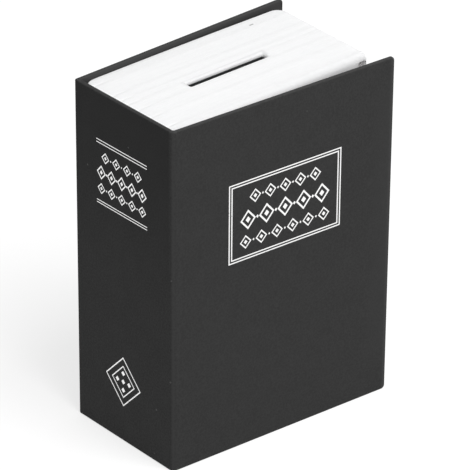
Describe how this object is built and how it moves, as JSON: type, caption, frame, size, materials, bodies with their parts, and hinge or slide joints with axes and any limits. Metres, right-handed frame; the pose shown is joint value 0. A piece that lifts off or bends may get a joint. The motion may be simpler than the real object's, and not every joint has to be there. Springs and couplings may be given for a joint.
{
  "type": "book diversion safe",
  "caption": "Dummy dictionary with a swinging front cover, ridged page block with a coin slot, and a steel box with a hinged, cam-locked lid inside.",
  "frame": {"origin": "middle of the base of the bounding box, with the front cover ajar as in the picture", "axes": "+X from the spine to the fore edge, +Y from the front cover to the back cover, +Z from tail to head"},
  "size_m": [0.126, 0.0794, 0.18],
  "materials": {
    "covering": "charcoal covering paper with a fine cloth grain, matt to satin",
    "board": "grey binder's board",
    "lining": "black lining paper, matt",
    "pages": "white moulded plastic with soft page ridges",
    "painted_steel": "black powder coat",
    "zinc_steel": "bright zinc plate",
    "chrome": "polished chrome plate",
    "brass": "machined brass"
  },
  "bodies": {
    "case": {"spine_board": "board", "back_board": "board", "covering_spine": "covering", "covering_back": "covering", "covering_front_joint": "covering", "covering_back_joint": "covering", "pastedown_back": "lining", "page_block": "pages", "steel_box": "painted_steel", "box_frame": "painted_steel", "strike_plate": "painted_steel", "hinge_leaf_box": "zinc_steel", "hinge_pin": "zinc_steel", "hinge_rivet_box_1": "zinc_steel", "hinge_rivet_box_2": "zinc_steel", "hinge_rivet_box_3": "zinc_steel", "box_rivet_1": "zinc_steel", "box_rivet_2": "zinc_steel", "box_rivet_3": "zinc_steel", "box_rivet_4": "zinc_steel"},
    "front_cover": {"front_board": "board", "covering_front": "covering", "pastedown_front": "lining"},
    "lid": {"lid": "painted_steel", "hinge_leaf_lid": "zinc_steel", "hinge_rivet_lid_1": "zinc_steel", "hinge_rivet_lid_2": "zinc_steel", "hinge_rivet_lid_3": "zinc_steel", "lock_barrel": "chrome", "lock_washer": "zinc_steel", "lock_nut": "zinc_steel"},
    "lock": {"lock_plug": "brass", "lock_cam": "zinc_steel", "cam_screw": "zinc_steel"}
  },
  "joints": [
    {"name": "front_cover_hinge", "type": "hinge", "parent": "case", "child": "front_cover", "pos_m": [-0.063, -0.02871, 0.09], "axis": [0, 0, -1], "range_deg": [-5, 170]},
    {"name": "lid_hinge", "type": "hinge", "parent": "case", "child": "lid", "pos_m": [-0.0444, -0.02331, 0.09], "axis": [0, 0, -1], "range_deg": [-2.88, 97.75]},
    {"name": "lock_turn", "type": "hinge", "parent": "lid", "child": "lock", "pos_m": [0.03465, -0.02828, 0.09], "axis": [0.0502, 0.9987, 0], "range_deg": [0, 90]}
  ],
  "couplings": [
    {"joint": "lid_hinge", "follows": "front_cover_hinge", "ratio": 0.575}
  ]
}
